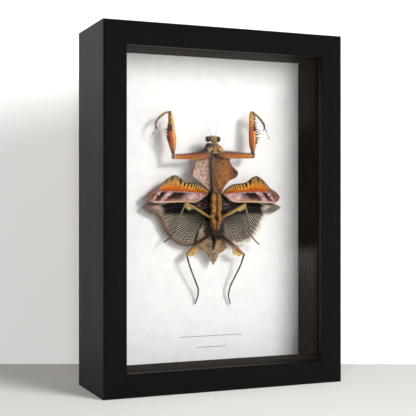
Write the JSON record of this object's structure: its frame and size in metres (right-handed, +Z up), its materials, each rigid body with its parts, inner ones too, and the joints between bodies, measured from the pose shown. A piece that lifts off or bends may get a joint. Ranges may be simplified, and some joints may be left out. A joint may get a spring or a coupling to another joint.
{
  "type": "framed mantis specimen",
  "caption": "Dried dead-leaf mantis with spread wings, mounted belly outwards on white backing in a deep black wooden box frame with a glass front.",
  "frame": {"origin": "centre of the foot of the frame", "axes": "+Z up along the frame's height, -Y out of the glass front, +X to the viewer's right"},
  "size_m": [0.127, 0.0446, 0.178],
  "materials": {
    "stained_wood": "black-stained wood, satin, fine grain",
    "glass": "clear picture glass",
    "spacer_board": "dark brown board, matte",
    "mat_paper": "white textured paper, matte",
    "foam_board": "white foam board, matte",
    "hardboard": "brown hardboard, matte",
    "steel": "bright steel",
    "brass": "brassed steel",
    "head_shell": "dried insect shell, satin",
    "shield_shell": "dried insect shell, mottled, satin",
    "thorax_shell": "dried insect shell, satin",
    "abdomen_shell": "dried leaf-like shell, mottled",
    "fore_wing": "leathery wing, orange and pink with dark marks",
    "hind_wing": "thin pleated wing, near black with pale veins",
    "fore_leg": "dried insect leg, orange red, satin",
    "walking_leg": "dried insect leg, straw coloured",
    "antenna": "dried antenna, pale"
  },
  "bodies": {
    "root": {"rail_left": "stained_wood", "rail_right": "stained_wood", "rail_top": "stained_wood", "rail_bottom": "stained_wood", "glass_pane": "glass", "spacer_left": "spacer_board", "spacer_right": "spacer_board", "spacer_top": "spacer_board", "spacer_bottom": "spacer_board", "mat_board": "mat_paper", "foam_board": "foam_board", "back_panel": "hardboard", "point_left_upper": "steel", "point_left_lower": "steel", "point_right_upper": "steel", "point_right_lower": "steel", "point_top": "steel", "point_bottom": "steel", "pin_shield": "steel", "pin_thorax": "steel", "hanger": "brass", "hanger_nail_left": "brass", "hanger_nail_right": "brass", "head": "head_shell", "prothorax": "shield_shell", "thorax": "thorax_shell", "abdomen": "abdomen_shell", "antenna_left": "antenna", "antenna_right": "antenna", "fore_wing_left": "fore_wing", "fore_wing_right": "fore_wing", "hind_wing_left": "hind_wing", "hind_wing_right": "hind_wing", "fore_leg_left": "fore_leg", "fore_leg_right": "fore_leg", "mid_leg_left": "walking_leg", "mid_leg_right": "walking_leg", "hind_leg_left": "walking_leg", "hind_leg_right": "walking_leg"}
  },
  "joints": []
}
